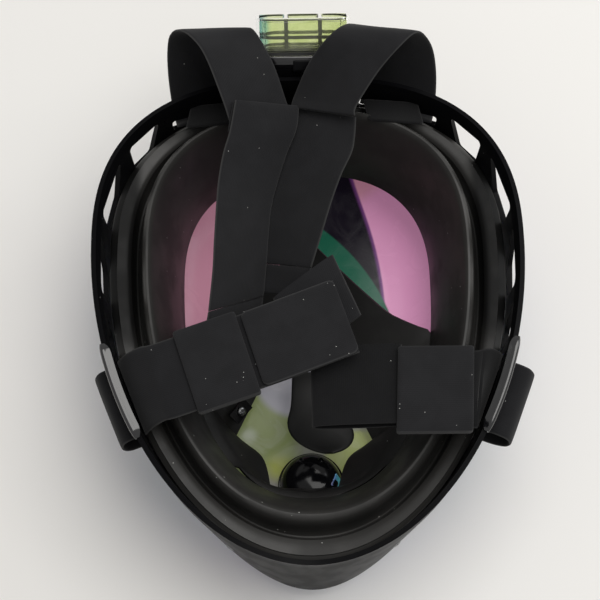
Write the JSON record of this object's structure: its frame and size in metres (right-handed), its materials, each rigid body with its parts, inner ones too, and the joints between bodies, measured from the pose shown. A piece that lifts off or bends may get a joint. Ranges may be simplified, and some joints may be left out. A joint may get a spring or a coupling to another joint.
{
  "type": "full-face snorkel mask",
  "caption": "Full-face snorkel mask with a dished window, open-work rim, silicone face skirt, clear snorkel socket, purge valve and a folded four-point head harness.",
  "frame": {"origin": "on the flat front of the window, which the mask lies on", "axes": "+X across the mask, +Y up to the forehead and the socket, +Z back towards the wearer"},
  "size_m": [0.2065, 0.2738, 0.1198],
  "materials": {
    "window": "pink-tinted polycarbonate",
    "socket": "clear, yellow-green sheen",
    "gloss": "gloss black",
    "silicone": "matt black silicone",
    "webbing": "black elastic webbing",
    "grip": "black hook-and-loop",
    "screw": "bright"
  },
  "bodies": {
    "mask": {"visor": "window", "rim": "gloss", "visor_seal": "silicone", "face_skirt": "silicone", "nose_pocket": "silicone", "nose_shelf": "silicone", "cheek_valve_seat_left": "gloss", "cheek_valve_seat_right": "gloss", "pocket_clip_left": "gloss", "pocket_clip_right": "gloss", "pocket_screw_left": "screw", "pocket_screw_right": "screw", "purge_dome": "gloss", "purge_seat": "gloss", "purge_guard": "gloss", "socket_base": "gloss", "socket_seal": "silicone", "snorkel_socket": "socket", "button_spring": "screw", "rim_screw_brow_left": "screw", "rim_screw_brow_right": "screw", "rim_screw_chin_left": "screw", "rim_screw_chin_right": "screw", "ear_rail_left": "gloss", "ear_rail_right": "gloss", "ear_loop_left": "webbing", "ear_loop_right": "webbing", "upper_strap_left": "webbing", "upper_strap_right": "webbing", "strap_tab_left": "webbing", "strap_tab_right": "webbing"},
    "purge_flap": {"purge_flap": "silicone"},
    "cheek_flap_left": {"cheek_valve_flap_left": "silicone"},
    "cheek_flap_right": {"cheek_valve_flap_right": "silicone"},
    "exhale_flap_left": {"exhale_flap_left": "silicone"},
    "exhale_flap_right": {"exhale_flap_right": "silicone"},
    "release_button": {"release_button": "gloss"},
    "crown": {"crown_strap_top": "webbing", "crown_strap_under": "webbing", "crown_fold": "webbing"},
    "lower_left": {"lower_strap_left": "webbing", "grip_patch_left": "grip"},
    "lower_right": {"lower_strap_right": "webbing", "grip_patch_right": "grip"},
    "keeper_left": {"strap_keeper_left": "grip"},
    "keeper_right": {"strap_keeper_right": "grip"}
  },
  "joints": [
    {"name": "purge_lift", "type": "slide", "parent": "mask", "child": "purge_flap", "axis": [0, 0, -1], "range_m": [0, 0.001], "stiffness_N_per_m": 60, "springref_m": -0.0003},
    {"name": "cheek_flap_left_open", "type": "hinge", "parent": "mask", "child": "cheek_flap_left", "pos_m": [-0.04866, -0.01874, 0.03197], "axis": [-0.6647, -0.7471, 0], "range_deg": [0, 30], "stiffness_Nm_per_rad": 0.0004},
    {"name": "cheek_flap_right_open", "type": "hinge", "parent": "mask", "child": "cheek_flap_right", "pos_m": [0.04866, -0.01874, 0.03197], "axis": [-0.6647, 0.7471, 0], "range_deg": [0, 30], "stiffness_Nm_per_rad": 0.0004},
    {"name": "exhale_flap_left_open", "type": "hinge", "parent": "mask", "child": "exhale_flap_left", "pos_m": [-0.0156, 0.12049, 0.08799], "axis": [1, 0, 0], "range_deg": [0, 24], "stiffness_Nm_per_rad": 0.0004},
    {"name": "exhale_flap_right_open", "type": "hinge", "parent": "mask", "child": "exhale_flap_right", "pos_m": [0.0156, 0.12049, 0.08799], "axis": [1, 0, 0], "range_deg": [0, 24], "stiffness_Nm_per_rad": 0.0004},
    {"name": "release_press", "type": "slide", "parent": "mask", "child": "release_button", "axis": [0, 0.6157, -0.788], "range_m": [0, 0.0013], "stiffness_N_per_m": 400, "springref_m": -0.0005, "deforming": ["button_spring"]},
    {"name": "crown_lift", "type": "hinge", "parent": "mask", "child": "crown", "pos_m": [-0.005, 0.0945, 0.102], "axis": [-1, 0, 0], "range_deg": [0, 25]},
    {"name": "lower_left_lift", "type": "hinge", "parent": "mask", "child": "lower_left", "pos_m": [-0.0826, -0.0464, 0.0794], "axis": [0.3625, -0.9212, -0.1416], "range_deg": [0, 30]},
    {"name": "lower_right_lift", "type": "hinge", "parent": "mask", "child": "lower_right", "pos_m": [0.0826, -0.0464, 0.0794], "axis": [0.3625, 0.9212, 0.1416], "range_deg": [0, 30]},
    {"name": "keeper_left_slide", "type": "slide", "parent": "lower_left", "child": "keeper_left", "axis": [0.9522, 0.288, 0.1022], "range_m": [-0.003, 0.001]},
    {"name": "keeper_right_slide", "type": "slide", "parent": "lower_right", "child": "keeper_right", "axis": [-0.9995, 0, 0.0329], "range_m": [0, 0.003]}
  ],
  "couplings": [
    {"joint": "lower_left_lift", "follows": "crown_lift", "ratio": 1.15},
    {"joint": "lower_right_lift", "follows": "crown_lift", "ratio": 0.7}
  ]
}
